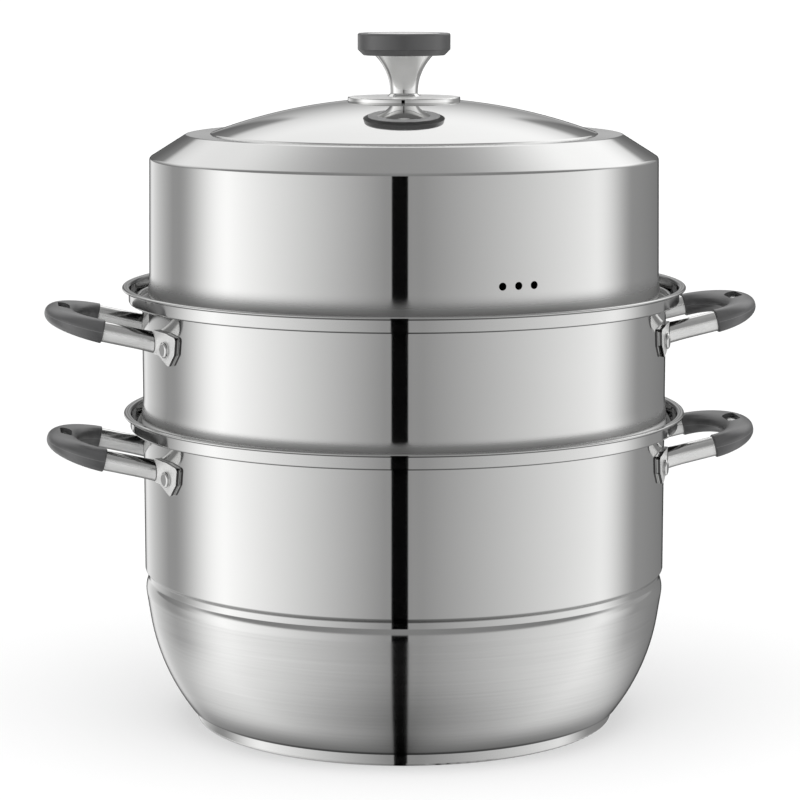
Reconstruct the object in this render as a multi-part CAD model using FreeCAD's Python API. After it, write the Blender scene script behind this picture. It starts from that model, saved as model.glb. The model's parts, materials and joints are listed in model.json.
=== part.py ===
import FreeCAD, Part
import math
import os

from FreeCAD import Vector

# Steamer pot: a stock pot with a clad base, one steaming tier and a tall vented lid with a knob.
# Millimetres, +Z up, standing on z = 0. The loop handles lie along X, the steam vents face -Y.

# Sheet metal and fits
sheet = 0.8
seat_gap = 0.3
fit_gap = 0.1
overrun = 10.0

# Wall and rim, the same on the pot and on the tier
wall_radius = 140.75
collar_step = 7.0
collar_height = 8.6
collar_bend = 1.1
ledge_fall = 0.6
mouth_bend = 0.5
lip_reach = 3.4
lip_height = 1.7
lip_round = 0.8
lip_root_round = 0.4
lip_inner_round = 1.8
neck_height = 8.0
neck_inset = 1.8
neck_round = 40.0

# Pot
pot_height = 168.5
groove_height = 81.2
groove_floor = 3.2
groove_depth = 1.85
groove_upper_slope = 1.9
groove_lower_slope = 4.4
groove_upper_round = 1.6
groove_floor_round = 1.0
groove_lower_round = 4.0
bulge_inset = 6.5
bulge_height = 31.6
bulge_round = 110.0
bottom_overhang = 3.1
bottom_round = 3.0

# Clad base
base_radius = 113.4
base_height = 6.6
base_skin = 0.7
base_bend = 1.6

# Tier
tier_pitch = 67.8
bead_reach = 4.0
bead_height = 2.0
bead_slope = 4.9
bead_root_round = 3.0
bead_round = 1.2
skirt_clearance = 1.1
skirt_depth = 14.0
skirt_round = 9.0
steam_hole_diameter = 6.0
steam_hole_pitch = 26.0
steam_ring_count = 4
steam_holes_per_ring = 6

# Lid
lid_clearance = 3.3
lid_wall_height = 75.9
lid_draft = 0.8
lid_bend = 1.0
lid_edge_round = 2.2
lid_chamfer_inset = 19.4
lid_chamfer_height = 12.2
lid_shoulder_round = 1.6
lid_shoulder_width = 13.6
seam_step = 0.6
seam_round = 0.3
dome_rise = 18.1
curl_radius = 1.35
curl_reach = 7.6
vent_diameter = 4.0
vent_height = 19.9
vent_pitch = 8.75
vent_turn = 16.6
vent_count = 3

# Knob
knob_plate_radius = 30.0
knob_plate_edge = 0.8
knob_plate_rise = 1.2
knob_plate_edge_round = 0.6
stem_foot_radius = 8.9
stem_foot_height = 1.2
stem_neck_radius = 7.3
stem_head_radius = 15.6
stem_height = 21.6
stem_flare = 28.0
stem_foot_round = 1.0
knob_radius = 24.7
knob_height = 11.7
knob_bevel = 3.1
knob_top_round = 1.1
knob_bevel_round = 0.5
cap_radius = 20.0
cap_thickness = 0.8
cap_edge_round = 0.3
screw_diameter = 5.0
screw_depth = 5.0
screw_head_diameter = 10.0
screw_head_height = 3.4
screw_head_round = 1.2
drive_slot_width = 1.4
drive_slot_depth = 1.5
washer_diameter = 18.0
washer_thickness = 1.2

# Loop handles: straight legs on riveted feet, and an oval bend inside the grip.
# Drops are measured down from the lip.
handle_reach = 53.0
leg_half_span = 37.0
leg_width = 9.0
leg_height = 10.6
leg_tilt = 12.8
foot_drop = 23.8
foot_width = 15.0
foot_height = 12.8
foot_standoff = 6.0
foot_depth = 13.0
foot_flare_share = 0.25
oval_share = 0.88
oval_points = 24
core_width = 8.4
core_height = 7.4
core_tail = 5.0
pad_thickness = 2.0
pad_back = 18.0
pad_top = 8.6
pad_front = 11.0
pad_shoulder = 7.0
pad_side = 9.6
pad_waist = 1.7
pad_tail = 8.6
pad_tail_offset = 3.4
pad_heel = 3.9
pad_heel_offset = 8.6
pad_round = 1.8
rivet_spread = 54.8
rivet_drop = 26.6
rivet_shank_diameter = 5.0
rivet_head_diameter = 8.6
rivet_head_height = 1.9
rivet_crown_round = 1.4

# Handle grips
grip_start = 22.8
grip_section_steps = 14
grip_end_width = 11.8
grip_end_height = 12.4
grip_end_round = 0.8
grip_nose_width = 16.4
grip_nose_height = 10.9
window_width = 6.6
window_length = 21.0
window_inset = 1.2

# Derived places
collar_radius = wall_radius + collar_step
lip_radius = collar_radius + lip_reach
tier_lip = pot_height + tier_pitch
ledge_height = collar_height - sheet
mouth_radius = wall_radius - sheet
lid_seat = tier_lip - ledge_height + seat_gap
lid_wall_radius = mouth_radius - lid_clearance
lid_top_radius = lid_wall_radius - lid_draft
lid_corner = lid_seat + lid_wall_height
shoulder_radius = lid_top_radius - lid_chamfer_inset
shoulder_height = lid_corner + lid_chamfer_height
seam_radius = shoulder_radius - lid_shoulder_width
seam_height = shoulder_height + seam_step
apex = seam_height + dome_rise
dome_radius = (seam_radius ** 2 + dome_rise ** 2) / (2 * dome_rise)
stem_base = apex + knob_plate_rise
knob_base = stem_base + stem_height
knob_top = knob_base + knob_height
pad_bore = wall_radius + fit_gap
pad_skin = pad_bore + pad_thickness
rivet_turn = math.degrees(math.asin(rivet_spread / pad_skin))
loop_line = wall_radius + handle_reach - grip_nose_width / 2
grip_end = wall_radius + grip_start


def turned(angle):
    return Vector(math.cos(math.radians(angle)), math.sin(math.radians(angle)), 0)


def corner_reach(before, here, after, radius):
    # Distance from a corner to where its rounding starts.
    turn = (here - before).getAngle(after - here)
    return radius * math.tan(turn / 2)


def rounded_edges(corners, radii, closed):
    # Straight runs with tangent arcs at the corners. A rounding is limited by the runs beside it.
    count = len(corners)
    reaches = []
    for i in range(count):
        inner = closed or 0 < i < count - 1
        reach = corner_reach(corners[i - 1], corners[i], corners[(i + 1) % count], radii[i]) if inner else 0
        reaches.append(reach)
    limits = [1] * count
    for i in range(count if closed else count - 1):
        j = (i + 1) % count
        wanted = reaches[i] + reaches[j]
        room = corners[i].distanceToPoint(corners[j])
        if wanted > room:
            limits[i] = min(limits[i], room / wanted)
            limits[j] = min(limits[j], room / wanted)
    edges = []
    last = None
    for i in range(count):
        here = corners[i]
        reach = reaches[i] * limits[i]
        to_before = (corners[i - 1] - here).normalize()
        to_after = (corners[(i + 1) % count] - here).normalize()
        start = here + to_before * reach
        end = here + to_after * reach
        if last is not None and not last.isEqual(start, Part.Precision.confusion()):
            edges.append(Part.LineSegment(last, start).toShape())
        if reach > 0:
            half = to_before.getAngle(to_after) / 2
            radius = reach * math.tan(half)
            centre = here + (to_before + to_after).normalize() * (radius / math.sin(half))
            middle = centre + (here - centre).normalize() * radius
            edges.append(Part.Arc(start, middle, end).toShape())
        last = end
    if closed:
        first = edges[0].Vertexes[0].Point
        if not last.isEqual(first, Part.Precision.confusion()):
            edges.append(Part.LineSegment(last, first).toShape())
    return edges


def outline_face(points, to_vector):
    # A closed face through points given as (a, b, rounding).
    corners = [to_vector(a, b) for a, b, _ in points]
    radii = [rounding for _, _, rounding in points]
    return Part.Face(Part.Wire(rounded_edges(corners, radii, True)))


def profile_vector(radius, height):
    return Vector(radius, 0, height)


def plan_vector(x, y):
    return Vector(x, y, 0)


def spin(points):
    # A turned solid from points given as (radius, height, rounding).
    solid = outline_face(points, profile_vector).revolve(Vector(0, 0, 0), Vector(0, 0, 1), 360)
    if solid.Volume < 0:
        solid.reverse()
    return solid


def inner_skin(path, thickness):
    # The other face of a sheet whose outer face follows the path. It lies on the right of the travel.
    corners = [Vector(radius, height, 0) for radius, height, _ in path]
    runs = [(end - start).normalize() for start, end in zip(corners, corners[1:])]
    roundings = [rounding for _, _, rounding in path]
    result = []
    for corner, into, out, rounding in zip(corners, runs[:1] + runs, runs + runs[-1:], roundings):
        normal_in = Vector(into.y, -into.x, 0)
        normal_out = Vector(out.y, -out.x, 0)
        shift = (normal_in + normal_out) * (thickness / (1 + normal_in.dot(normal_out)))
        right_turn = into.cross(out).z < 0
        bend = max(rounding - thickness, 0) if right_turn else rounding + thickness
        result.append((corner.x + shift.x, corner.y + shift.y, bend if rounding > 0 else 0))
    return result


def rim_path(top):
    # Outer face of the lip, the collar and the ledge, down to the mouth of the wall.
    return [
        (lip_radius, top - lip_height, lip_round),
        (collar_radius, top - lip_height, lip_root_round),
        (collar_radius, top - collar_height, collar_bend),
        (wall_radius, top - collar_height - ledge_fall, mouth_bend),
    ]


def rimmed_shell(top, lower_path):
    # A pressed vessel: a hemmed lip above a sheet that follows the rim and then the lower path.
    path = rim_path(top) + lower_path
    inside = inner_skin(path, sheet)[2:]
    hem = [(collar_radius - sheet, top, lip_inner_round), (lip_radius, top, lip_round)]
    return spin(path + inside[::-1] + hem)


def radial_bar(diameter, angle, height, inner, outer):
    start = turned(angle) * inner + Vector(0, 0, height)
    return Part.makeCylinder(diameter / 2, outer - inner, start, turned(angle))


def rivet_angles(side):
    centre = 0 if side == "right" else 180
    return [centre - rivet_turn, centre + rivet_turn]


def drill_rivet_holes(shell, top):
    for side in ("left", "right"):
        for angle in rivet_angles(side):
            diameter = rivet_shank_diameter + 2 * fit_gap
            drill = radial_bar(diameter, angle, top - rivet_drop, mouth_radius - overrun, pad_skin)
            shell = shell.cut(drill)
    return shell


def pot_body():
    groove_radius = wall_radius - groove_depth
    groove_bottom = groove_height - groove_floor
    path = [
        (wall_radius, groove_height + groove_upper_slope, groove_upper_round),
        (groove_radius, groove_height, groove_floor_round),
        (groove_radius, groove_bottom, groove_floor_round),
        (wall_radius, groove_bottom - groove_lower_slope, groove_lower_round),
        (wall_radius - bulge_inset, bulge_height, bulge_round),
        (base_radius + bottom_overhang, base_height, bottom_round),
        (0, base_height, 0),
    ]
    return drill_rivet_holes(rimmed_shell(pot_height, path), pot_height)


def pot_base_cap():
    path = [(base_radius, base_height - fit_gap, 0), (base_radius, 0, base_bend), (0, 0, 0)]
    return spin(path + inner_skin(path, base_skin)[::-1])


def pot_base_core():
    core_radius = base_radius - base_skin - fit_gap
    return spin([
        (0, base_skin, 0),
        (core_radius, base_skin, base_bend - base_skin),
        (core_radius, base_height, 0),
        (0, base_height, 0),
    ])


def steamer_body():
    seat = pot_height - ledge_height + seat_gap
    bead_radius = wall_radius + bead_reach
    bead_top = seat + bead_height + bead_slope
    skirt_radius = mouth_radius - skirt_clearance
    floor_height = seat - skirt_depth
    shell = rimmed_shell(tier_lip, [
        (wall_radius, bead_top + neck_height, neck_round),
        (wall_radius - neck_inset, bead_top, bead_root_round),
        (bead_radius, seat + bead_height, bead_round),
        (bead_radius, seat, bead_round),
        (skirt_radius, seat, bead_round),
        (skirt_radius, floor_height, skirt_round),
        (0, floor_height, 0),
    ])
    shell = drill_rivet_holes(shell, tier_lip)
    for ring in range(steam_ring_count + 1):
        holes = max(ring * steam_holes_per_ring, 1)
        for hole in range(holes):
            centre = turned(360 * hole / holes) * (ring * steam_hole_pitch)
            low = centre + Vector(0, 0, floor_height - overrun)
            shell = shell.cut(Part.makeCylinder(steam_hole_diameter / 2, skirt_depth + overrun, low))
    return shell


def lid_shell():
    dome_run = dome_radius * math.tan(math.asin(seam_radius / dome_radius) / 2)
    flange_top = lid_seat + sheet
    path = [
        (0, apex, 0),
        (dome_run, apex, dome_radius),
        (seam_radius, seam_height, seam_round),
        (seam_radius + seam_step, shoulder_height, seam_round),
        (shoulder_radius, shoulder_height, lid_shoulder_round),
        (lid_top_radius, lid_corner, lid_edge_round),
        (lid_wall_radius, flange_top + neck_height, neck_round),
        (lid_wall_radius - neck_inset, flange_top, lid_bend),
        (lid_wall_radius + curl_reach - curl_radius, flange_top, 0),
    ]
    shell = spin(path + inner_skin(path, sheet)[::-1])
    curl_centre = Vector(0, 0, lid_seat + curl_radius)
    curl = Part.makeTorus(lid_wall_radius + curl_reach - curl_radius, curl_radius, curl_centre)
    shell = shell.fuse(curl).removeSplitter()
    bore = Part.makeCylinder(screw_diameter / 2 + fit_gap, dome_rise, Vector(0, 0, seam_height + overrun))
    shell = shell.cut(bore)
    for i in range(vent_count):
        step = math.degrees(vent_pitch / lid_wall_radius) * (i - (vent_count - 1) / 2)
        angle = vent_turn + step - 90
        inner = lid_wall_radius - overrun
        shell = shell.cut(radial_bar(vent_diameter, angle, lid_seat + vent_height, inner, lip_radius))
    return shell


def knob_plate():
    bore = screw_diameter / 2 + fit_gap
    disc = spin([
        (bore, seam_height, 0),
        (knob_plate_radius, seam_height, 0),
        (knob_plate_radius, apex + knob_plate_edge, knob_plate_edge_round),
        (stem_foot_radius, stem_base, 0),
        (bore, stem_base, 0),
    ])
    seat = Part.makeSphere(dome_radius + fit_gap, Vector(0, 0, apex - dome_radius))
    return disc.cut(seat)


def knob_stem():
    bore = screw_diameter / 2 + fit_gap
    neck_end = stem_base + stem_height - (stem_head_radius - stem_neck_radius)
    return spin([
        (bore, stem_base, 0),
        (stem_foot_radius, stem_base, 0),
        (stem_neck_radius, stem_base + stem_foot_height, stem_foot_round),
        (stem_neck_radius, neck_end, stem_flare),
        (stem_head_radius, knob_base, 0),
        (bore, knob_base, 0),
    ])


def knob_grip():
    bore = screw_diameter / 2 + fit_gap
    recess = cap_radius + fit_gap
    bore_end = knob_base + screw_depth
    return spin([
        (bore, knob_base, 0),
        (knob_radius - knob_bevel, knob_base, knob_bevel_round),
        (knob_radius, knob_base + knob_bevel, knob_bevel_round),
        (knob_radius, knob_top, knob_top_round),
        (recess, knob_top, 0),
        (recess, knob_top - cap_thickness - fit_gap, 0),
        (0, knob_top - cap_thickness - fit_gap, 0),
        (0, bore_end, 0),
        (bore, bore_end, 0),
    ])


def knob_cap():
    low = knob_top - cap_thickness - fit_gap
    high = knob_top - fit_gap
    return spin([(0, low, 0), (cap_radius, low, 0), (cap_radius, high, cap_edge_round), (0, high, 0)])


def knob_washer():
    high = apex - sheet - dome_radius + math.sqrt(dome_radius ** 2 - washer_diameter ** 2 / 4)
    bore = screw_diameter / 2 + fit_gap
    outer = washer_diameter / 2
    low = high - washer_thickness
    return spin([(bore, low, 0), (outer, low, 0), (outer, high, 0), (bore, high, 0)])


def knob_screw():
    washer = knob_washer().BoundBox
    head_base = washer.ZMin - screw_head_height
    head = screw_head_diameter / 2
    shank = screw_diameter / 2
    tip = knob_base + screw_depth - fit_gap
    screw = spin([
        (0, head_base, 0),
        (head, head_base, screw_head_round),
        (head, washer.ZMin, 0),
        (shank, washer.ZMin, 0),
        (shank, tip, 0),
        (0, tip, 0),
    ])
    slot_corner = Vector(-head, -drive_slot_width / 2, head_base)
    return screw.cut(Part.makeBox(screw_head_diameter, drive_slot_width, drive_slot_depth, slot_corner))


def oval_wire(centre, normal, height, width):
    # An upright oval section, square to the normal and a little fuller than an ellipse.
    across = Vector(0, 0, 1).cross(normal).normalize() * (width / 2)
    upward = Vector(0, 0, height / 2)
    points = []
    for i in range(oval_points):
        angle = 2 * math.pi * i / oval_points
        a = math.copysign(abs(math.cos(angle)) ** oval_share, math.cos(angle))
        b = math.copysign(abs(math.sin(angle)) ** oval_share, math.sin(angle))
        points.append(centre + across * a + upward * b)
    curve = Part.BSplineCurve()
    curve.interpolate(points, PeriodicFlag=True)
    return Part.Wire(curve.toShape())


def raise_loop(shape, top):
    # Tilts a flat loop about its feet and lifts it to its rim.
    pivot = Vector(wall_radius, 0, 0)
    shape.rotate(pivot, Vector(0, 1, 0), -leg_tilt)
    shape.translate(Vector(0, 0, top - foot_drop))
    return shape


def loop_path(run):
    # Centre line of the oval bend, with a straight run at each end.
    side = Vector(grip_end, leg_half_span, 0)
    other = Vector(grip_end, -leg_half_span, 0)
    oval = Part.Ellipse(side, Vector(loop_line, 0, 0), Vector(grip_end, 0, 0))
    edges = [Part.ArcOfEllipse(oval, 0, math.pi).toShape()]
    if run > 0:
        back = Vector(-run, 0, 0)
        edges.append(Part.LineSegment(side + back, side).toShape())
        edges.append(Part.LineSegment(other, other + back).toShape())
    return Part.Wire(Part.sortEdges(edges)[0])


def loop_core(growth):
    # The slimmer bar that the grip is moulded on, grown all round for its pocket.
    start = Vector(grip_end - core_tail, leg_half_span, 0)
    section = oval_wire(start, Vector(1, 0, 0), core_height + 2 * growth, core_width + 2 * growth)
    return loop_path(core_tail).makePipeShell([section], True, False)


def handle_leg(sign):
    # A straight leg and the flared foot that spreads onto the wall.
    def section(x, share):
        width = leg_width + (foot_width - leg_width) * share
        height = leg_height + (foot_height - leg_height) * share
        return oval_wire(Vector(x, sign * leg_half_span, 0), Vector(1, 0, 0), height, width)

    flare_start = wall_radius + foot_standoff
    flare_end = wall_radius - foot_depth
    flare_middle = (flare_start + flare_end) / 2
    leg = Part.makeLoft([section(grip_end - fit_gap, 0), section(flare_start, 0)], True, True)
    flare = [section(flare_start, 0), section(flare_middle, foot_flare_share), section(flare_end, 1)]
    return leg.fuse(Part.makeLoft(flare, True, False))


def foot_pad(sign, top):
    angle = sign * rivet_turn
    outward = turned(angle)
    along = Vector(-outward.y, outward.x, 0) * sign
    origin = Vector(0, 0, top - rivet_drop)

    def wall_vector(a, b):
        return origin + along * a + Vector(0, 0, b)

    outline = outline_face([
        (-pad_back, pad_top, pad_round),
        (0, pad_top, pad_round),
        (pad_front, pad_shoulder, pad_round),
        (pad_side, -pad_waist, pad_round),
        (pad_tail_offset, -pad_tail, pad_round),
        (-pad_heel_offset, -pad_heel, pad_round),
        (-pad_back, -pad_heel, pad_round),
    ], wall_vector)
    block = outline.extrude(outward * (pad_skin + overrun))
    span = pad_top + pad_tail
    low = Vector(0, 0, origin.z - span)
    ring = Part.makeCylinder(pad_skin, 2 * span, low).cut(Part.makeCylinder(pad_bore, 2 * span, low))
    return block.common(ring)


def loop_handle(top):
    handle = loop_core(0)
    for sign in (-1, 1):
        handle = handle.fuse(handle_leg(sign))
    handle = raise_loop(handle, top)
    handle = handle.cut(Part.makeCylinder(pad_bore, 2 * foot_drop, Vector(0, 0, top - 2 * foot_drop)))
    for sign in (-1, 1):
        handle = handle.fuse(foot_pad(sign, top))
        drill = rivet_shank_diameter + 2 * fit_gap
        outer = pad_skin + overrun
        handle = handle.cut(radial_bar(drill, sign * rivet_turn, top - rivet_drop, mouth_radius, outer))
    return handle.removeSplitter()


def grip_section(angle):
    # A section of the grip at an angle round its oval bend, 0 at the nose.
    depth = loop_line - grip_end
    ahead = turned(angle)
    centre = Vector(grip_end + depth * ahead.x, leg_half_span * ahead.y, 0)
    heading = Vector(-depth * ahead.y, leg_half_span * ahead.x, 0)
    height = grip_end_height + (grip_nose_height - grip_end_height) * ahead.x
    width = grip_end_width + (grip_nose_width - grip_end_width) * ahead.x
    return oval_wire(centre, heading, height, width)


def handle_grip(top):
    # A moulded grip round the bend, flat and wide at its nose, with a window that shows the bar.
    sections = [grip_section(180 * i / grip_section_steps - 90) for i in range(grip_section_steps + 1)]
    body = Part.makeLoft(sections, True, False)
    rims = [edge for edge in body.Edges if edge.BoundBox.XMax < grip_end + fit_gap]
    body = body.makeFillet(grip_end_round, rims)
    near = loop_line - window_inset - window_width / 2
    far = near + window_width
    window = outline_face([
        (near, -window_length / 2, window_width / 2),
        (far, -window_length / 2, window_width / 2),
        (far, window_length / 2, window_width / 2),
        (near, window_length / 2, window_width / 2),
    ], plan_vector).extrude(Vector(0, 0, grip_nose_height))
    return raise_loop(body.cut(loop_core(fit_gap)).cut(window), top)


def rivet(angle, height):
    # A set rivet through the pad and the wall, with a domed head on each side.
    outward = turned(angle)
    head = rivet_head_diameter / 2
    crown = pad_skin + fit_gap + rivet_head_height
    inner_face = mouth_radius - fit_gap
    root = inner_face - rivet_head_height
    shank = rivet_shank_diameter / 2
    outline = [
        (0, root, 0),
        (head, root, rivet_crown_round),
        (head, inner_face, 0),
        (shank, inner_face, 0),
        (shank, pad_skin + fit_gap, 0),
        (head, pad_skin + fit_gap, 0),
        (head, crown, rivet_crown_round),
        (0, crown, 0),
    ]
    pin = spin(outline)
    pin.rotate(Vector(0, 0, 0), Vector(0, 1, 0), 90)
    pin.rotate(Vector(0, 0, 0), Vector(0, 0, 1), angle)
    pin.translate(Vector(0, 0, height))
    return pin


def rivet_pair(side, top):
    return Part.makeCompound([rivet(angle, top - rivet_drop) for angle in rivet_angles(side)])


def on_side(shape, side):
    if side == "left":
        shape.rotate(Vector(0, 0, 0), Vector(0, 0, 1), 180)
    return shape


nodes = {
    "pot_body": pot_body(),
    "pot_base_cap": pot_base_cap(),
    "pot_base_core": pot_base_core(),
    "steamer_body": steamer_body(),
    "lid_shell": lid_shell(),
    "knob_plate": knob_plate(),
    "knob_stem": knob_stem(),
    "knob_grip": knob_grip(),
    "knob_cap": knob_cap(),
    "knob_washer": knob_washer(),
    "knob_screw": knob_screw(),
}
for vessel, top in (("pot", pot_height), ("steamer", tier_lip)):
    for side in ("left", "right"):
        nodes[f"{vessel}_handle_{side}"] = on_side(loop_handle(top), side)
        nodes[f"{vessel}_grip_{side}"] = on_side(handle_grip(top), side)
        nodes[f"{vessel}_rivets_{side}"] = rivet_pair(side, top)

os.makedirs("parts", exist_ok=True)
for name, shape in nodes.items():
    box = shape.BoundBox
    print(f"{name}: {len(shape.Solids)} solids, valid {shape.isValid()}, {shape.Volume:.0f} mm3,",
          f"z {box.ZMin:.2f} to {box.ZMax:.2f}")
    shape.exportStep(f"parts/{name}.step")
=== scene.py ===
import json
import math

import bpy
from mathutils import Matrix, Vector

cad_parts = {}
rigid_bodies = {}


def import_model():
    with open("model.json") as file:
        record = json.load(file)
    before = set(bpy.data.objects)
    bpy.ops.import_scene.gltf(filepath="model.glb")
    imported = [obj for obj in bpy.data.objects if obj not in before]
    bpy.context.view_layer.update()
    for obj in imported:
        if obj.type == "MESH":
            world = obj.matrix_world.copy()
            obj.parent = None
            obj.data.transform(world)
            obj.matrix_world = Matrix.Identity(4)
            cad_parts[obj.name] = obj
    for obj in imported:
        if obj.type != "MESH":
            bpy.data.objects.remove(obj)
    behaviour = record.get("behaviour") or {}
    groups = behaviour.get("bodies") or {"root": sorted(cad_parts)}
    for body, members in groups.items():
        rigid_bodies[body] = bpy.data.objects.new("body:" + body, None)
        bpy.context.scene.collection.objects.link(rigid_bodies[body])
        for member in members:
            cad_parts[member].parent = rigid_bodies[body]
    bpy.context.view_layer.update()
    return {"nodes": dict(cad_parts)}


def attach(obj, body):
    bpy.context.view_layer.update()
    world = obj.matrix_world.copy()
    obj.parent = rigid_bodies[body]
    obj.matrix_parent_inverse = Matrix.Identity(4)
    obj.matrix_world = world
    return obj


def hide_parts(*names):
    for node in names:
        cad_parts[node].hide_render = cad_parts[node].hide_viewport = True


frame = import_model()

scene = bpy.context.scene
for spare in [item for item in scene.objects if item.name in ("Cube", "Light", "Camera")]:
    bpy.data.objects.remove(spare)
nodes = frame["nodes"]
millimetre = 0.001
print("frame loaded", len(nodes), "nodes")


class Wire:  # an output of a shader graph that takes part in sums
    def __init__(self, graph, socket):
        self.graph = graph
        self.socket = socket

    def math(self, operation, *others):
        return self.graph.math(operation, self, *others)

    def __add__(self, other):
        return self.math("ADD", other)

    def __radd__(self, other):
        return self.math("ADD", other)

    def __sub__(self, other):
        return self.math("SUBTRACT", other)

    def __rsub__(self, other):
        return self.graph.math("SUBTRACT", other, self)

    def __mul__(self, other):
        return self.math("MULTIPLY", other)

    def __rmul__(self, other):
        return self.math("MULTIPLY", other)


class Graph:  # builds the nodes of one material or world
    def __init__(self, owner):
        owner.use_nodes = True
        self.tree = owner.node_tree
        self.tree.nodes.clear()

    def add(self, kind, settings, sockets, out=0):
        node = self.tree.nodes.new("ShaderNode" + kind)
        for name, value in settings.items():
            setattr(node, name, value)
        for name, value in sockets.items():
            if isinstance(value, Wire):
                self.tree.links.new(value.socket, node.inputs[name])
            else:
                node.inputs[name].default_value = value
        return Wire(self, node.outputs[out]) if len(node.outputs) else None

    def math(self, operation, *values):
        return self.add("Math", {"operation": operation}, dict(enumerate(values)))

    def vector(self, operation, *values, out=0):
        return self.add("VectorMath", {"operation": operation}, dict(enumerate(values)), out)

    def dot(self, a, b):
        return self.vector("DOT_PRODUCT", a, b, out="Value")

    def length(self, vector):
        return self.vector("LENGTH", vector, out="Value")

    def split(self, vector, axis):
        return self.add("SeparateXYZ", {}, {0: vector}, axis)

    def line(self, value, low, high):
        return self.add("MapRange", {}, {"Value": value, 1: low, 2: high})

    def step(self, value, low, high, start=0.0, end=1.0):
        return self.add("MapRange", {"interpolation_type": "SMOOTHSTEP"},
                        {"Value": value, 1: low, 2: high, 3: start, 4: end})

    def near(self, value, middle, full, clear):  # 1 within full of the middle, 0 from clear on
        return self.step((value - middle).math("ABSOLUTE"), clear, full)

    def place(self):
        return self.add("TexCoord", {}, {}, "Object")

    def normal(self):
        return self.add("NewGeometry", {}, {}, "Normal")

    def fromAxis(self, place):
        return self.vector("MULTIPLY", place, (1, 1, 0))

    def noise(self, vector, scale, detail=2.0):
        return self.add("TexNoise", {}, {"Vector": vector, "Scale": scale, "Detail": detail})

    def grain(self, place, stretch, detail=3.0):  # fine lines, long where the stretch is small
        return self.noise(self.vector("MULTIPLY", place, stretch), 1.0, detail)

    def grey(self, tone, blue=0.99):
        return self.add("CombineColor", {}, {0: tone, 1: tone, 2: tone * blue})

    def bump(self, height, strength, distance):
        return self.add("Bump", {}, {"Height": height, "Strength": strength, "Distance": distance})


noiseMiddle = 0.5


def grey(tone):
    return (tone, tone, tone, 1.0)


def mixed(a, b, share):
    return a + (b - a) * share


def dimmed(tone, mask, left):  # only the share left stays where the mask is full
    return tone * (1 - (1 - left) * mask)


# Camera: the photograph's place, a little above the lid and towards the left handles
viewPoint = {"turn": 8.0, "distance": 1.5431, "height": 0.4068, "pitch": 8.627, "yaw": 0.08,
             "lens": 129.58, "sensor": 36, "clipEnd": 200}
turn = math.radians(viewPoint["turn"])
toCamera = (-math.sin(turn), -math.cos(turn), 0)
toRight = (math.cos(turn), -math.sin(turn), 0)
cameraData = bpy.data.cameras.new("photoCamera")
cameraData.lens = viewPoint["lens"]
cameraData.sensor_width = viewPoint["sensor"]
cameraData.clip_end = viewPoint["clipEnd"]
camera = bpy.data.objects.new("photoCamera", cameraData)
camera.location = [part * viewPoint["distance"] for part in toCamera]
camera.location.z = viewPoint["height"]
camera.rotation_euler = (math.radians(90 - viewPoint["pitch"]), 0, -turn + math.radians(viewPoint["yaw"]))
scene.collection.objects.link(camera)
scene.camera = camera
scene.view_settings.view_transform = "Standard"
print("camera set")

# Studio: the softboxes and flags that the steel mirrors, by bearing from the camera and by rise, in degrees
studio = {
    "fill": 0.41,
    "left": {"inner": -8, "peak": -84, "outer": -121, "gain": 1.08},
    "right": {"inner": 8, "peak": 94, "outer": 124, "gain": 0.85},
    "rearLeft": {"inner": -126, "peak": -156, "outer": -172, "gain": 0.55},
    "rearRight": {"inner": 118, "peak": 165, "outer": 200, "gain": -0.2},
    "rearFlag": {"start": 161, "end": 167, "tone": 0.2},
    "rearGap": {"start": 177, "end": 178.5, "top": -1.2, "low": -2.4, "tone": 0.8},
    "lowLeft": {"inner": -8, "peak": -95, "outer": -172, "gain": 0.85},
    "lowRight": {"inner": 8, "peak": 95, "outer": 172, "gain": 0.78},
    "low": {"boxStart": -16, "boxEnd": -34, "dimStart": -30, "dimEnd": -70, "tone": 0.55},
    "strip": {"lensRise": 8, "turn": -0.88, "half": 1.77, "soft": 0.06, "top": 22, "end": 28},
    "backdrop": {"start": 1.2, "end": 2.6, "dim": 0.36, "dimRise": 6, "bright": 1.25, "brightRise": 31,
                 "top": 0.36, "fadeStart": 42, "fadeEnd": 72, "lean": 0.3, "sideStart": 95, "sideEnd": 135},
    "slot": {"start": 173, "end": 174.5, "low": 1.0, "high": 4.4, "soft": 0.8, "gain": 0.13},
    "sideFlag": {"start": 158, "end": 160, "close": 172.5, "open": 174,
                 "top": 18.5, "soft": 2.2, "tone": 0.42},
    "frontCeiling": {"start": 10, "end": 20, "tone": 0.3, "light": 0.36, "lightStart": 50, "lightEnd": 80},
    "floorLight": {"base": 0.34, "gain": 1.0, "start": -0.5, "end": 0.5,
                   "top": 1.35, "topStart": 35, "topEnd": 75},
}
world = bpy.data.worlds.new("studio")
scene.world = world
sky = Graph(world)
ray = sky.add("TexCoord", {}, {}, "Generated")


def bearingOf(vector):
    return sky.math("ARCTAN2", sky.dot(vector, toRight), sky.dot(vector, toCamera)) * math.degrees(1)


bearing = bearingOf(ray)
turned = bearing.math("ABSOLUTE")
rise = sky.split(ray, "Z").math("ARCSINE") * math.degrees(1)


def softbox(name):
    box = studio[name]
    rising = sky.line(bearing, box["inner"], box["peak"])
    falling = sky.step(bearing, box["outer"], box["peak"])
    return rising.math("MINIMUM", falling) * box["gain"]


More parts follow.
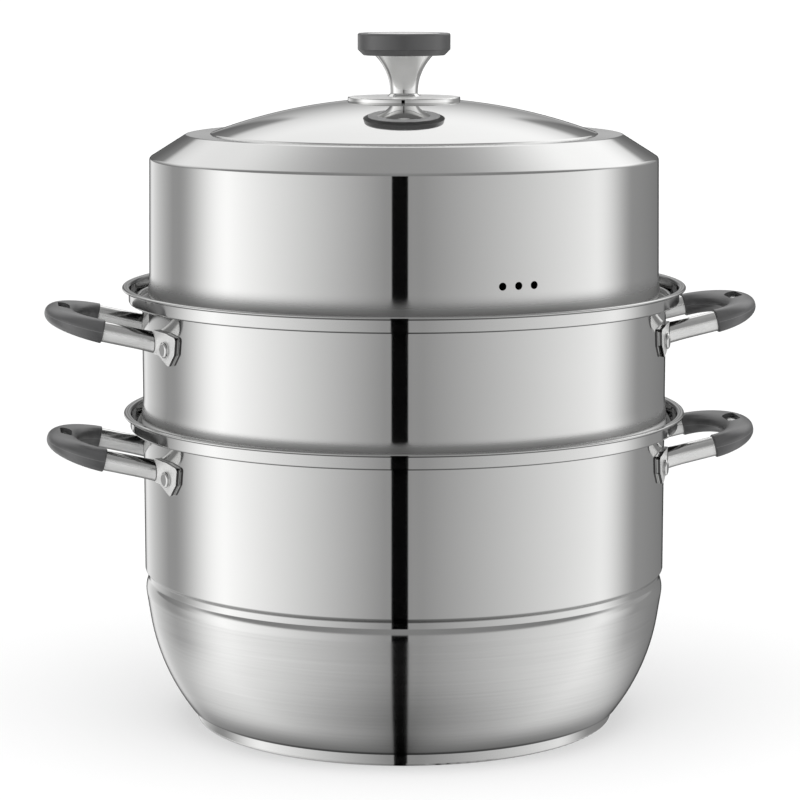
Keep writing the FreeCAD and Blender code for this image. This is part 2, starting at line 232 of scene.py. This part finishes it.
def eyeLevel():  # what upright steel mirrors
    tone = softbox("left") + softbox("right") + softbox("rearLeft") + softbox("rearRight") + studio["fill"]
    flag = studio["rearFlag"]
    tone = tone * sky.step(turned, flag["start"], flag["end"], 1, flag["tone"])
    gap = studio["rearGap"]
    lit = sky.step(turned, gap["start"], gap["end"]) * sky.step(rise, gap["top"], gap["low"])
    tone = tone + lit * gap["tone"]
    low = studio["low"]
    under = softbox("lowLeft") + softbox("lowRight") + studio["fill"]
    tone = mixed(tone, under, sky.step(rise, low["boxStart"], low["boxEnd"]))
    tone = tone * sky.step(rise, low["dimStart"], low["dimEnd"], 1, low["tone"])
    strip = studio["strip"]  # seen at one width down every upright face
    lensRise = math.radians(strip["lensRise"])
    toLens = (toCamera[0] * math.cos(lensRise), toCamera[1] * math.cos(lensRise), math.sin(lensRise))
    aside = (bearingOf(sky.vector("ADD", ray, toLens)) - strip["turn"]).math("ABSOLUTE")
    clear = sky.step(aside, strip["half"] - strip["soft"], strip["half"] + strip["soft"])
    return tone * clear.math("MAXIMUM", sky.step(rise, strip["top"], strip["end"]))


def backWall(around):  # what the dome, the shoulder and the chamfer mirror
    wall = studio["backdrop"]
    tone = sky.step(rise, wall["dimRise"], wall["brightRise"], wall["dim"], wall["bright"])
    slot = studio["slot"]
    lit = sky.step(rise, slot["low"], slot["low"] + slot["soft"])
    lit = lit * sky.step(rise, slot["high"] + slot["soft"], slot["high"])
    tone = tone + lit * sky.step(turned, slot["start"], slot["end"]) * slot["gain"]
    tone = tone - sky.step(rise, wall["fadeStart"], wall["fadeEnd"], 0, wall["bright"] - wall["top"])
    tone = tone * (1 + sky.dot(ray, toRight) * wall["lean"])
    flag = studio["sideFlag"]
    shade = sky.step(turned, flag["start"], flag["end"]) * sky.step(turned, flag["open"], flag["close"])
    shade = shade * sky.step(rise, flag["top"] + flag["soft"], flag["top"] - flag["soft"])
    return mixed(around, dimmed(tone, shade, flag["tone"]), sky.step(rise, wall["start"], wall["end"]))


def frontCeiling(around):
    ceiling = studio["frontCeiling"]
    tone = sky.step(rise, ceiling["lightStart"], ceiling["lightEnd"], ceiling["tone"], ceiling["light"])
    return mixed(around, tone, sky.step(rise, ceiling["start"], ceiling["end"]))


def floorLight():  # what lights everything that isn't a mirror
    light = studio["floorLight"]
    tone = light["base"] + sky.step(sky.dot(ray, toCamera), light["start"], light["end"]) * light["gain"]
    return tone + sky.step(rise, light["topStart"], light["topEnd"]) * light["top"]


def rayIs(kind):
    return sky.add("LightPath", {}, {}, "Is " + kind + " Ray")


around = eyeLevel()
behind = sky.step(turned, studio["backdrop"]["sideStart"], studio["backdrop"]["sideEnd"])
room = mixed(frontCeiling(around), backWall(around), behind)
strength = mixed(floorLight(), room, rayIs("Glossy").math("MAXIMUM", rayIs("Transmission")))
strength = mixed(strength, 1, rayIs("Camera"))  # white behind the object
glow = sky.add("Background", {}, {"Color": grey(1), "Strength": strength})
sky.add("OutputWorld", {}, {"Surface": glow})

# Floor: pale, with a weak glow of its own that keeps the shadow light
floorLook = {"half": 40.0, "drop": 0.0003, "tone": 0.88, "glow": 0.45}
half = floorLook["half"]
floorMesh = bpy.data.meshes.new("floor")
floorCorners = [(-half, -half, 0), (half, -half, 0), (half, half, 0), (-half, half, 0)]
floorMesh.from_pydata(floorCorners, [], [(0, 1, 2, 3)])
floor = bpy.data.objects.new("floor", floorMesh)
floor.location.z = -floorLook["drop"]
floor.visible_glossy = False
scene.collection.objects.link(floor)
floorPaint = bpy.data.materials.new("floorPaint")
paper = Graph(floorPaint)
matte = paper.add("BsdfDiffuse", {}, {"Color": grey(floorLook["tone"])})
shine = paper.add("Emission", {}, {"Color": grey(1), "Strength": 1.0})
surface = paper.add("MixShader", {}, {0: floorLook["glow"], 1: matte, 2: shine})
paper.add("OutputMaterial", {}, {"Surface": surface})
floorMesh.materials.append(floorPaint)
print("studio and floor set")


# Turned shells: the corners of an outline are (radius, height, rounding) in millimetres,
# with the metal on the right of the travel
fineness = {"bend": math.radians(6), "run": 4.0, "columns": 360}
tiny = 1e-6
straight = 1e-3
sameSpot = 1e-4


def runOf(corners):  # places and normals along an outline with rounded corners
    spots = [Vector(corner[:2]) for corner in corners]
    count = len(spots)
    reaches = []
    for i in range(count):
        bend = (spots[i] - spots[i - 1]).angle(spots[(i + 1) % count] - spots[i], 0)
        reaches.append(corners[i][2] * math.tan(bend / 2))
    limits = [1.0] * count
    for i in range(count):
        j = (i + 1) % count
        if reaches[i] + reaches[j] > 0:
            share = (spots[j] - spots[i]).length / (reaches[i] + reaches[j])
            limits[i] = min(limits[i], share)
            limits[j] = min(limits[j], share)
    samples = []
    for i in range(count):
        into = (spots[i] - spots[i - 1]).normalized()
        out = (spots[(i + 1) % count] - spots[i]).normalized()
        left = Vector((-into.y, into.x))
        bend = math.atan2(into.cross(out), into.dot(out))
        reach = reaches[i] * limits[i]
        if reach == 0:
            samples.append((spots[i], left))
            if abs(bend) > straight:
                samples.append((spots[i], Vector((-out.y, out.x))))
            continue
        radius = reach / math.tan(bend / 2)
        start = spots[i] - into * reach
        steps = max(math.ceil(abs(bend) / fineness["bend"]), math.ceil(abs(bend * radius) / fineness["run"]))
        for step in range(steps + 1):
            angle = bend * step / steps
            normal = Vector((left.x * math.cos(angle) - left.y * math.sin(angle),
                             left.x * math.sin(angle) + left.y * math.cos(angle)))
            samples.append((start + (left - normal) * radius, normal))
    return samples


def innerSkin(path, sheet):  # the same corners on the other face of the sheet
    result = []
    for i, (radius, height, rounding) in enumerate(path):
        here = Vector((radius, height))
        into = (here - Vector(path[i - 1][:2])).normalized() if i else None
        out = (Vector(path[i + 1][:2]) - here).normalized() if i + 1 < len(path) else into
        into = into or out
        sideIn = Vector((into.y, -into.x))
        sideOut = Vector((out.y, -out.x))
        spot = here + (sideIn + sideOut) * (sheet / (1 + sideIn.dot(sideOut)))
        bend = max(rounding - sheet, 0) if into.cross(out) < 0 else rounding + sheet
        result.append((spot.x, spot.y, bend if rounding else 0))
    return result


class Shell:  # gathers the points, normals and faces of one piece
    def __init__(self):
        self.points = []
        self.normals = []
        self.faces = []

    def point(self, angle, spot, normal):
        along, across = math.cos(angle), math.sin(angle)
        place = (spot.x * along, spot.x * across, spot.y)
        self.points.append([part * millimetre for part in place])
        self.normals.append((normal.x * along, normal.x * across, normal.y))
        return len(self.points) - 1

    def turn(self, samples, angles, gaps=()):
        rings = [[self.point(angle, *sample) for angle in angles] for sample in samples]
        for k, ring in enumerate(rings):
            after = (k + 1) % len(rings)
            here, there = samples[k][0], samples[after][0]
            if (there - here).length < tiny or here.x + there.x < tiny:
                continue
            for j in range(len(angles)):
                side = (j + 1) % len(angles)
                corners = [ring[j], rings[after][j], rings[after][side], ring[side]]
                if here.x < tiny:
                    corners.pop(3)
                elif there.x < tiny:
                    corners.pop(2)
                if (k, j) not in gaps:
                    self.faces.append(corners)
        return rings

    def make(self, name, node, body):
        mesh = bpy.data.meshes.new(name)
        mesh.from_pydata(self.points, [], self.faces)
        mesh.shade_smooth()
        mesh.normals_split_custom_set_from_vertices(self.normals)
        piece = bpy.data.objects.new(name, mesh)
        scene.collection.objects.link(piece)
        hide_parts(node)
        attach(piece, body)
        print(name, len(self.faces), "faces")
        return piece


even = [math.tau * i / fineness["columns"] for i in range(fineness["columns"])]

# Rim of the pot and of the tier: a hemmed lip over a collar and a ledge
rim = {"sheet": 0.8, "wall": 140.75, "collar": 147.75, "lip": 151.15, "lipHeight": 1.7, "lipRound": 0.8,
       "rootRound": 0.4, "innerRound": 1.8, "collarHeight": 8.6, "collarBend": 1.1,
       "ledgeFall": 0.6, "mouthBend": 0.5}


def rimmedOutline(top, lower):
    path = [
        (rim["lip"], top - rim["lipHeight"], rim["lipRound"]),
        (rim["collar"], top - rim["lipHeight"], rim["rootRound"]),
        (rim["collar"], top - rim["collarHeight"], rim["collarBend"]),
        (rim["wall"], top - rim["collarHeight"] - rim["ledgeFall"], rim["mouthBend"]),
    ] + lower
    inside = innerSkin(path, rim["sheet"])[2:]
    hem = [(rim["collar"] - rim["sheet"], top, rim["innerRound"]), (rim["lip"], top, rim["lipRound"])]
    return path + inside[::-1] + hem


potShape = {"top": 168.5, "bulge": (134.25, 31.6, 110.0), "bottom": [(116.5, 6.6, 3.0), (0, 6.6, 0)],
            "groove": [(140.75, 83.1, 1.6), (138.9, 81.2, 1.0), (138.9, 78.0, 2.5), (140.75, 73.6, 12.0)]}


def makePot():
    shell = Shell()
    lower = potShape["groove"] + [potShape["bulge"]] + potShape["bottom"]
    shell.turn(runOf(rimmedOutline(potShape["top"], lower)), even)
    return shell.make("potShell", "pot_body", "pot")


tierShape = {"top": 236.3, "neck": [(140.75, 175.4, 55.0), (141.6, 166.9, 2.0)],
             "bead": [(144.75, 163.0, 1.2), (144.75, 161.0, 1.2), (138.85, 161.0, 1.2)],
             "skirt": (138.85, 147.0, 9.0), "plate": 126.0,
             "hole": 3.0, "holeSides": 24, "pitch": 26.0, "rings": 4, "ringStep": 6}


def piercedFloor(shell, low):  # a flat plate with rings of holes
    curve = bpy.data.curves.new("tierFloor", "CURVE")
    curve.dimensions = "2D"
    curve.fill_mode = "BOTH"
    curve.extrude = rim["sheet"] / 2
    hole = (tierShape["hole"], tierShape["holeSides"])
    circles = [(0, 0, tierShape["plate"], fineness["columns"]), (0, 0, *hole)]
    for ring in range(1, tierShape["rings"] + 1):
        out = ring * tierShape["pitch"]
        count = ring * tierShape["ringStep"]
        for i in range(count):
            angle = math.tau * i / count
            circles.append((out * math.cos(angle), out * math.sin(angle), *hole))
    for x, y, radius, count in circles:
        spline = curve.splines.new("POLY")
        spline.points.add(count - 1)
        for i, spot in enumerate(spline.points):
            angle = math.tau * i / count
            spot.co = (x + radius * math.cos(angle), y + radius * math.sin(angle), 0, 1)
        spline.use_cyclic_u = True
    pattern = bpy.data.objects.new("tierFloor", curve)
    plate = bpy.data.meshes.new_from_object(pattern)
    lift = Vector((0, 0, low + rim["sheet"] / 2))
    for face in plate.polygons:
        first = len(shell.points)
        for index in face.vertices:
            shell.points.append((plate.vertices[index].co + lift) * millimetre)
            shell.normals.append(tuple(face.normal))
        shell.faces.append(list(range(first, len(shell.points))))
    bpy.data.objects.remove(pattern)
    bpy.data.meshes.remove(plate)


def makeTier():
    shell = Shell()
    low = tierShape["skirt"][1]
    lower = tierShape["neck"] + tierShape["bead"] + [tierShape["skirt"], (tierShape["plate"], low, 0)]
    shell.turn(runOf(rimmedOutline(tierShape["top"], lower)), even)
    piercedFloor(shell, low)
    return shell.make("tierShell", "steamer_body", "steamer")


lidShape = {"seat": 228.8, "bore": 2.6, "apex": 335.6, "seam": (102.85, 317.5, 0.3),
            "step": (103.45, 316.9, 0.3), "shoulder": (116.45, 316.9, 3.0), "corner": (135.85, 304.7, 2.2),
            "neck": (136.65, 240.5, 55.0), "root": (137.8, 229.6, 1.0),
            "curl": 142.9, "curlRadius": 1.35, "curlSides": 36}
vents = {"height": 248.7, "turn": 16.6, "pitch": 8.75, "radius": 2.0, "count": 3, "parts": 8, "columns": 348}


def lidPath():  # the lid's top, the rows of its wall beside the vents, and its foot
    apex, seam, corner = lidShape["apex"], lidShape["seam"], lidShape["corner"]
    neck, root = lidShape["neck"], lidShape["root"]
    domeRise = apex - seam[1]
    domeRadius = (seam[0] ** 2 + domeRise ** 2) / (2 * domeRise)
    domeRun = domeRadius * math.tan(math.asin(seam[0] / domeRadius) / 2)
    dome = [(lidShape["bore"], apex, 0), (domeRun, apex, domeRadius)]
    rows = []
    for i in range(vents["parts"] + 1):
        height = vents["height"] + vents["pitch"] * (0.5 - i / vents["parts"])
        share = (corner[1] - height) / (corner[1] - neck[1])
        rows.append((corner[0] + (neck[0] - corner[0]) * share, height, 0))
    top = dome + [seam, lidShape["step"], lidShape["shoulder"], corner]
    return top, rows, [neck, root, (lidShape["curl"], root[1], 0)]


def rowsAt(samples, corners):
    spots = [Vector(corner[:2]) for corner in corners]
    return [k for k, (place, normal) in enumerate(samples)
            if any((place - spot).length < sameSpot for spot in spots)]


def cutVent(shell, samples, rings, rowSets, firstColumn, middle):
    parts = vents["parts"]

    def onWall(rows, angle):  # a point of the vent's edge
        high, low = samples[rows[0]][0], samples[rows[-1]][0]
        height = vents["height"] + vents["radius"] * math.sin(angle)
        spot = high.lerp(low, (height - high.y) / (low.y - high.y))
        aside = vents["radius"] * math.cos(angle) / lidShape["neck"][0]
        return shell.point(middle + aside, spot, samples[rows[0]][1])

    places = [(0, i) for i in range(parts)] + [(i, parts) for i in range(parts)]
    places += [(parts, parts - i) for i in range(parts)] + [(parts - i, 0) for i in range(parts)]
    for rows in rowSets:
        edge = [rings[rows[row]][firstColumn + column] for row, column in places]
        hole = []
        for row, column in places:
            up = samples[rows[row]][0].y - vents["height"]
            hole.append(onWall(rows, math.atan2(up, (column / parts - 0.5) * vents["pitch"])))
        for i in range(len(edge)):
            j = (i + 1) % len(edge)
            shell.faces.append([edge[j], edge[i], hole[i], hole[j]])
    tube = []
    for i in range(len(places)):
        angle = math.tau * i / len(places)
        inward = math.cos(angle)
        for rows in rowSets:
            tube.append(onWall(rows, angle))
            shell.normals[-1] = (inward * math.sin(middle), -inward * math.cos(middle), -math.sin(angle))
    for i in range(0, len(tube), 2):
        j = (i + 2) % len(tube)
        shell.faces.append([tube[i], tube[j], tube[j + 1], tube[i + 1]])


def makeLid():
    shell = Shell()
    top, rows, foot = lidPath()
    path = top + rows + foot
    inside = innerSkin(path, rim["sheet"])
    samples = runOf(path + inside[::-1])
    rowSets = [rowsAt(samples, rows), rowsAt(samples, inside[len(top):len(top) + len(rows)])]
    parts, count, columns = vents["parts"], vents["count"], vents["columns"]
    tileAngle = vents["pitch"] / lidShape["neck"][0]
    start = math.radians(vents["turn"] - 90) - tileAngle * count / 2
    end = start + tileAngle * count
    angles = [start + tileAngle * i / parts for i in range(count * parts)]
    angles += [end + (math.tau - tileAngle * count) * i / columns for i in range(columns)]
    gaps = {(k, j) for wall in rowSets for k in wall[:-1] for j in range(count * parts)}
    rings = shell.turn(samples, angles, gaps)
    for tile in range(count):
        cutVent(shell, samples, rings, rowSets, tile * parts, start + tileAngle * (tile + 0.5))
    middle = Vector((lidShape["curl"], lidShape["seat"] + lidShape["curlRadius"]))
    curl = []
    for i in range(lidShape["curlSides"]):
        angle = math.tau * i / lidShape["curlSides"]
        normal = Vector((math.cos(angle), -math.sin(angle)))
        curl.append((middle + normal * lidShape["curlRadius"], normal))
    shell.turn(curl, even)
    return shell.make("lidShell", "lid_shell", "lid")


shells = {"pot": makePot(), "tier": makeTier(), "lid": makeLid()}
print("shells turned")


def newPaint(name):
    paint = bpy.data.materials.new(name)
    return paint, Graph(paint)


def finish(graph, sockets):
    shader = graph.add("BsdfPrincipled", {}, sockets)
    graph.add("OutputMaterial", {}, {"Surface": shader})


# Polished steel: turned lines round the axis, satin below the pot's groove, a hem line on the lips, and
# painted shade in the creases, inside the rims, low on the tier and lid walls, towards the pot's bottom and
# round the knob plate. Heights, radii and depths are in metres, and left is the share of the tone that stays
quarterTurn = 0.25
steelLook = {
    "tone": 0.64, "rough": 0.075, "grain": (9, 9, 900), "cloud": 14.0, "cloudTone": 0.03,
    "lineTone": 0.01, "lineRough": 0.02, "lineDepth": 0.12, "bump": 0.1, "bumpReach": 0.0002,
    "satin": {"start": 0.073, "full": 0.0706, "rough": 0.125,
              "lineTone": 0.08, "lineRough": 0.05, "lineDepth": 0.88},
    "hem": {"radius": 0.1492, "full": 0.000096, "clear": 0.000256, "left": 0.4, "depth": 3.0},
    "insideShade": [
        {"radius": 0.1466, "soft": 0.0006, "facing": (0.5, 0.2), "depth": 0.011, "fade": 0.001, "left": 0.15},
        {"radius": 0.148, "soft": 0.0004, "facing": (0.4, 0.1), "depth": 0.001, "fade": 0.001, "left": 0.15},
    ],
    "lipCreaseShades": [
        {"depth": 0.0015, "full": 0.0004, "clear": 0.0008},
        {"depth": 0.0087, "full": 0.0005, "clear": 0.001},
    ],
    "lipCreaseShade": {"facing": (-0.2, 0.0), "left": 0.3},
    "potCreaseShades": [
        {"height": 0.0822, "full": 0.00064, "clear": 0.0016, "left": 0.5},
        {"height": 0.0073, "full": 0.00064, "clear": 0.0016, "left": 0.35},
    ],
    "base": {"start": 0.023, "end": 0.0065, "left": 0.32},
    "foot": {"clear": 0.004, "full": 0.001, "rough": 0.25},
    "dome": {"height": 0.3172, "soft": 0.0006, "rough": 0.35},
    "plateShadow": {"inner": 0.03, "outer": 0.0335, "left": 0.4},
}


def polishedSteel(name, lipTop=None, foot=None):
    look = steelLook
    paint, graph = newPaint(name)
    place = graph.place()
    fromAxis = graph.fromAxis(place)
    radius = graph.length(fromAxis)
    height = graph.split(place, "Z")
    lines = graph.grain(place, look["grain"])
    cloud = graph.noise(place, look["cloud"])
    below = look["satin"]
    satin = graph.step(height, below["start"], below["full"])
    rough = mixed(look["rough"], below["rough"], satin)
    rough = rough + (lines - noiseMiddle) * (look["lineRough"] + below["lineRough"] * satin)
    tone = look["tone"] + (cloud - noiseMiddle) * look["cloudTone"]
    tone = tone + (lines - noiseMiddle) * (look["lineTone"] + below["lineTone"] * satin)
    cut = look["hem"]
    hem = graph.near(radius, cut["radius"], cut["full"], cut["clear"])
    tone = dimmed(tone, hem, cut["left"])
    if lipTop:
        facing = graph.dot(graph.normal(), graph.vector("NORMALIZE", fromAxis))
        # painted shade on the rim's inner faces, below the lip
        for part in look["insideShade"]:
            end = lipTop - part["depth"]
            mask = graph.step(radius, part["radius"] + part["soft"], part["radius"])
            mask = mask * graph.step(facing, *part["facing"]) * graph.step(height, end - part["fade"], end)
            tone = dimmed(tone, mask, part["left"])
        # painted shade lines under the lip and at the foot of the collar
        outside = graph.step(facing, *look["lipCreaseShade"]["facing"])
        for shadeLine in look["lipCreaseShades"]:
            mask = graph.near(height, lipTop - shadeLine["depth"], shadeLine["full"], shadeLine["clear"])
            tone = dimmed(tone, mask * outside, look["lipCreaseShade"]["left"])
    # painted shade lines at the edge of the groove and at the seam over the base
    for shadeLine in look["potCreaseShades"]:
        mask = graph.near(height, shadeLine["height"], shadeLine["full"], shadeLine["clear"])
        tone = dimmed(tone, mask, shadeLine["left"])
    # painted shade darkening the lowest part of the tier and lid walls
    if foot:
        edge = look["foot"]
        footShade = graph.step(height, foot["high"], foot["low"])
        footShade = footShade * graph.step(height, foot["low"] - edge["clear"], foot["low"] - edge["full"])
        tone = dimmed(tone, footShade, foot["left"])
        rough = rough + edge["rough"] * footShade
    # painted shade: the tone darkens towards the pot's bottom
    tone = tone * graph.step(height, look["base"]["start"], look["base"]["end"], 1, look["base"]["left"])
    dome = look["dome"]
    onDome = graph.step(height, dome["height"], dome["height"] + dome["soft"])
    rough = dimmed(rough, onDome, dome["rough"])
    # painted shadow on the lid's dome round the knob plate
    ring = look["plateShadow"]
    tone = dimmed(tone, graph.step(radius, ring["outer"], ring["inner"]) * onDome, ring["left"])
    depth = lines * (look["lineDepth"] + below["lineDepth"] * satin) - cut["depth"] * hem
    finish(graph, {
        "Base Color": graph.grey(tone), "Metallic": 1.0, "Roughness": rough,
        "Anisotropic": 1.0, "Anisotropic Rotation": quarterTurn,
        "Normal": graph.bump(depth, look["bump"], look["bumpReach"]),
    })
    return paint


# Plain metals: the base, its core and the fasteners
baseLook = {"tone": 0.57, "rough": 0.1, "grain": (9, 9, 900), "turned": 1.0}
coreLook = {"tone": 0.72, "rough": 0.35, "grain": (60, 60, 60), "turned": 0.0}
fastenerLook = {"tone": 0.7, "rough": 0.12, "grain": (150, 150, 150), "turned": 0.0}
metalLines = {"tone": 0.04, "rough": 0.05}


def plainMetal(name, look):
    paint, graph = newPaint(name)
    lines = graph.grain(graph.place(), look["grain"]) - noiseMiddle
    finish(graph, {
        "Base Color": graph.grey(look["tone"] + lines * metalLines["tone"]), "Metallic": 1.0,
        "Roughness": look["rough"] + lines * metalLines["rough"],
        "Anisotropic": look["turned"], "Anisotropic Rotation": quarterTurn,
    })
    return paint


# Knob chrome: a mirror on the stem and the edges, brushed pale on faces that lie level
chromeLook = {"tone": 0.74, "rough": 0.04, "grain": (60, 900, 300), "lineTone": 0.06, "lineRough": 0.04,
              "level": (0.9, 0.97), "levelTone": 0.1, "levelRough": 0.25, "levelMetal": 0.58}


def knobChrome():
    look = chromeLook
    paint, graph = newPaint("knobChrome")
    lines = graph.grain(graph.place(), look["grain"]) - noiseMiddle
    level = graph.step(graph.split(graph.normal(), "Z"), *look["level"])
    finish(graph, {
        "Base Color": graph.grey(look["tone"] + lines * look["lineTone"] + level * look["levelTone"]),
        "Metallic": mixed(1, look["levelMetal"], level),
        "Roughness": look["rough"] + level * look["levelRough"] + lines * look["lineRough"],
    })
    return paint


# Handle steel: mirror bright on top of the legs, pale satin below and on the pads, painted shade on the pad
# edges and under the legs
handleTilt = math.radians(12.8)
handleLook = {
    "tone": 0.78, "rough": 0.12, "satin": 0.3, "metal": 0.45, "grain": (200, 20, 200), "lineTone": 0.04,
    "lineRough": 0.05, "pad": 0.143, "padSoft": 0.0004, "face": (0.75, 0.92), "below": (0.2, 0.0),
    "under": (-0.5, -0.85), "underShadeLeft": 0.3, "edge": 0.1417, "edgeSoft": 0.0006, "edgeShadeLeft": 0.15,
}


def handleSteel():
    look = handleLook
    paint, graph = newPaint("handleSteel")
    place = graph.place()
    lines = graph.grain(place, look["grain"]) - noiseMiddle
    normal = graph.normal()
    fromAxis = graph.fromAxis(place)
    radius = graph.length(fromAxis)
    outward = graph.dot(normal, graph.vector("NORMALIZE", fromAxis))
    sideways = graph.split(normal, "X") * graph.split(place, "X").math("SIGN")
    up = graph.split(normal, "Z") * math.cos(handleTilt) - sideways * math.sin(handleTilt)
    pad = graph.step(radius, look["pad"] + look["padSoft"], look["pad"])
    face = graph.step(outward, *look["face"])
    pale = mixed(graph.step(up, *look["below"]), face, pad)
    # painted shade on the undersides of the legs
    under = graph.step(up, *look["under"]) * (1 - pad)
    # painted shade on the edges of the pads
    cut = pad * (1 - face) * graph.step(radius, look["edge"] - look["edgeSoft"], look["edge"])
    tone = dimmed(dimmed(look["tone"], cut, look["edgeShadeLeft"]), under, look["underShadeLeft"])
    finish(graph, {
        "Base Color": graph.grey(tone + lines * look["lineTone"]),
        "Metallic": mixed(1, look["metal"], pale),
        "Roughness": mixed(look["rough"], look["satin"], pale) + lines * look["lineRough"],
    })
    return paint


# Dark plastic: fine grain, painted light on the knob's underside, and on the handle grips a parting line in
# the middle plane of the tilted loop
plasticLook = {
    "tone": 0.05, "toneLow": 0.9, "toneSpread": 0.2, "blue": 1.02, "rough": 0.34, "roughSpread": 0.08,
    "shine": 0.9, "grain": 2600.0, "grainDepth": 0.15, "cloud": 40.0, "bump": 0.6, "bumpReach": 0.0001,
    "seamFull": 0.00008, "seamClear": 0.000272, "seamTone": 0.05,
    "undersideLight": (-0.9, -0.97), "undersideLightTone": 0.75,
}


def darkPlastic(name, pivotHeight=None):
    look = plasticLook
    paint, graph = newPaint(name)
    place = graph.place()
    cloud = graph.noise(place, look["cloud"])
    tone = look["tone"] * (look["toneLow"] + cloud * look["toneSpread"])
    depth = graph.noise(place, look["grain"]) * look["grainDepth"]
    if pivotHeight is None:  # painted light: the knob's underside is made pale so that it mirrors grey in the dome
        undersideLight = graph.step(graph.split(graph.normal(), "Z"), *look["undersideLight"])
        tone = tone + look["undersideLightTone"] * undersideLight
    else:
        outward = graph.split(place, "X").math("ABSOLUTE") - rim["wall"] * millimetre
        up = graph.split(place, "Z") - pivotHeight
        offset = up * math.cos(handleTilt) - outward * math.sin(handleTilt)
        seam = graph.near(offset, 0.0, look["seamFull"], look["seamClear"])
        tone = tone + seam * look["seamTone"]
        depth = depth + seam
    finish(graph, {
        "Base Color": graph.grey(tone, look["blue"]), "Specular IOR Level": look["shine"],
        "Roughness": look["rough"] + (cloud - noiseMiddle) * look["roughSpread"],
        "Normal": graph.bump(depth, look["bump"], look["bumpReach"]),
    })
    return paint


paints = {
    "polished_steel": polishedSteel("polishedSteel"),
    "base_steel": plainMetal("baseSteel", baseLook),
    "aluminium_core": plainMetal("aluminiumCore", coreLook),
    "handle_steel": handleSteel(),
    "fastener_steel": plainMetal("fastenerSteel", fastenerLook),
    "knob_chrome": knobChrome(),
    "dark_plastic": darkPlastic("knobPlastic"),
}
gripPivots = {"pot": 0.1447, "steamer": 0.2125}  # height of the tilted loops at the wall
gripPaints = {vessel: darkPlastic(vessel + "GripPlastic", height) for vessel, height in gripPivots.items()}
for name, node in nodes.items():
    slotName = node.data.materials[0].name
    vessel = name.split("_")[0]
    node.material_slots[0].material = gripPaints[vessel] if "_grip_" in name else paints[slotName]

# painted shade bands low on the tier and lid walls, heights in metres
footShades = {
    "tier": {"low": 0.1695, "high": 0.174, "left": 0.8},
    "lid": {"low": 0.2355, "high": 0.246, "left": 0.68},
}
shellPaints = {
    "pot": polishedSteel("potSteel", potShape["top"] * millimetre),
    "tier": polishedSteel("tierSteel", tierShape["top"] * millimetre, footShades["tier"]),
    "lid": polishedSteel("lidSteel", None, footShades["lid"]),
}
for name, shell in shells.items():
    shell.data.materials.append(shellPaints[name])
print("materials set")
